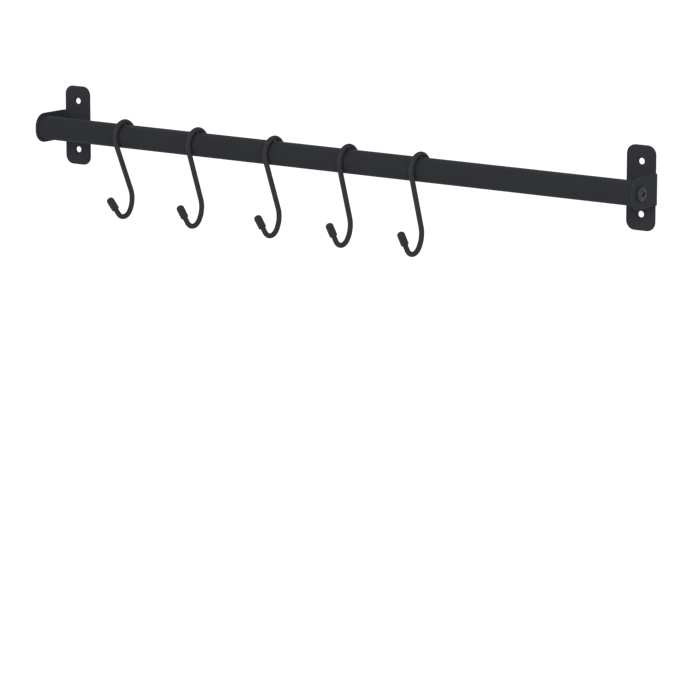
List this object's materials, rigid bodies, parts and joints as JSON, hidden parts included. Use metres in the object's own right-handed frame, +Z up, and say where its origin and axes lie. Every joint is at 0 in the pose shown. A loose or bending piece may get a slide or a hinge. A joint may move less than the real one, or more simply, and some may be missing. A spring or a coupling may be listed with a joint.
{
  "type": "wall rail with hooks",
  "caption": "Wall-mounted round steel rail between two folded brackets, with sliding wire S-hooks for hanging kitchen tools.",
  "frame": {"origin": "centre of the four wall screw holes, on the wall's face", "axes": "+X along the rail to the right, +Y into the wall, +Z up"},
  "size_m": [0.4866, 0.045, 0.0835],
  "materials": {
    "tube_coat": "matte black powder coat",
    "bracket_coat": "matte black powder coat",
    "screw_coat": "black plated, worn bright in the recess",
    "insert_steel": "plain",
    "hook_wire": "satin black coat",
    "hook_cap": "satin"
  },
  "bodies": {
    "rail": {"tube": "tube_coat", "left_bracket": "bracket_coat", "right_bracket": "bracket_coat", "left_end_screw": "screw_coat", "right_end_screw": "screw_coat", "left_insert": "insert_steel", "right_insert": "insert_steel"},
    "hook_1_body": {"hook_1": "hook_wire", "hook_1_cap": "hook_cap"},
    "hook_2_body": {"hook_2": "hook_wire", "hook_2_cap": "hook_cap"},
    "hook_3_body": {"hook_3": "hook_wire", "hook_3_cap": "hook_cap"},
    "hook_4_body": {"hook_4": "hook_wire", "hook_4_cap": "hook_cap"},
    "hook_5_body": {"hook_5": "hook_wire", "hook_5_cap": "hook_cap"}
  },
  "joints": [
    {"name": "hook_1_slide", "type": "slide", "parent": "rail", "child": "hook_1_body", "axis": [1, 0, 0], "range_m": [-0.06723, 0.02815]},
    {"name": "hook_2_slide", "type": "slide", "parent": "rail", "child": "hook_2_body", "axis": [1, 0, 0], "range_m": [-0.02815, 0.02887]},
    {"name": "hook_3_slide", "type": "slide", "parent": "rail", "child": "hook_3_body", "axis": [1, 0, 0], "range_m": [-0.02887, 0.02706]},
    {"name": "hook_4_slide", "type": "slide", "parent": "rail", "child": "hook_4_body", "axis": [1, 0, 0], "range_m": [-0.02706, 0.02538]},
    {"name": "hook_5_slide", "type": "slide", "parent": "rail", "child": "hook_5_body", "axis": [1, 0, 0], "range_m": [-0.02538, 0.16305]}
  ]
}
